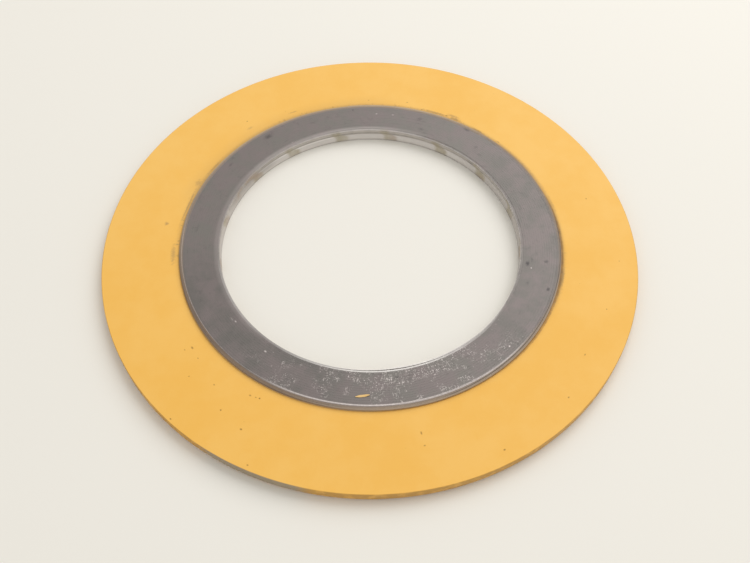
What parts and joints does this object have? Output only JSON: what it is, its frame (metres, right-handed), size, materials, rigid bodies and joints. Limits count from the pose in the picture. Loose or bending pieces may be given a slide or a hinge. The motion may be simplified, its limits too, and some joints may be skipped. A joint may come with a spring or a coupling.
{
  "type": "spiral wound gasket",
  "caption": "Flat ring gasket: a wound steel and graphite sealing ring, held in a painted steel centering ring, that seals a raised-face pipe flange joint.",
  "frame": {"origin": "centre of the bore, at the lower sealing face", "axes": "+Z along the bore axis, up through the gasket's thickness; X and Y in the gasket's plane, with the strip's steps from turn to turn along the X axis"},
  "size_m": [0.1683, 0.1682, 0.0046],
  "materials": {
    "ring_paint": "warm yellow enamel on carbon steel, semi-gloss",
    "strip_steel": "rolled stainless strip, dull, with straw-coloured spot welds",
    "graphite": "flexible graphite, matte, pressed and smeared flat"
  },
  "bodies": {
    "root": {"centering_ring": "ring_paint", "winding_strip": "strip_steel", "graphite_filler": "graphite"}
  },
  "joints": []
}
